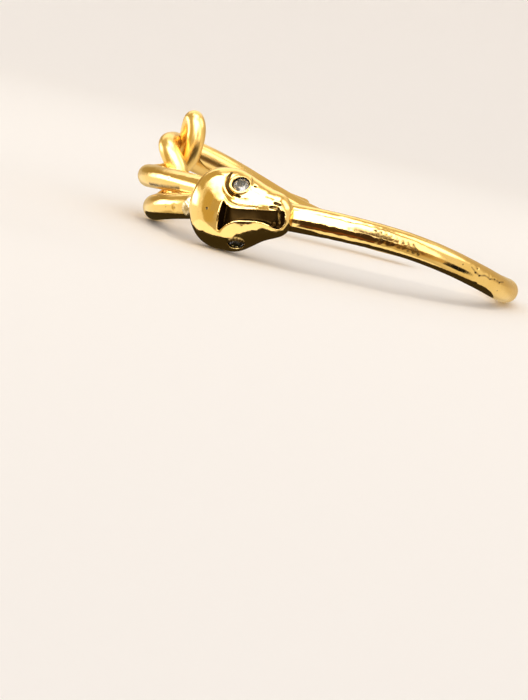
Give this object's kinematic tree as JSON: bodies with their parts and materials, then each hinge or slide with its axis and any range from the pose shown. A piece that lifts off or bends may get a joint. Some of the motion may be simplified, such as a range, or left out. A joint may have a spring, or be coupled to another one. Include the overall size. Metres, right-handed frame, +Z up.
{
  "type": "snake cuff bracelet",
  "caption": "Open oval cuff bracelet of round golden rod with a twisted snake body, a broad snake head with faceted eye stones, and a tail.",
  "frame": {"origin": "middle of the bracelet's outline on the surface that it lies on", "axes": "+X along the oval's long way towards the open end beyond the head, +Z up out of the surface, along the way the wrist goes through, -Y the side with the head"},
  "size_m": [0.0719, 0.0624, 0.0204],
  "materials": {
    "gold": "polished cast yellow gold colour with small pits and scratches",
    "stone": "clear faceted round stone"
  },
  "bodies": {
    "root": {"snake_cuff": "gold", "eye_stone_upper": "stone", "eye_stone_lower": "stone"}
  },
  "joints": []
}
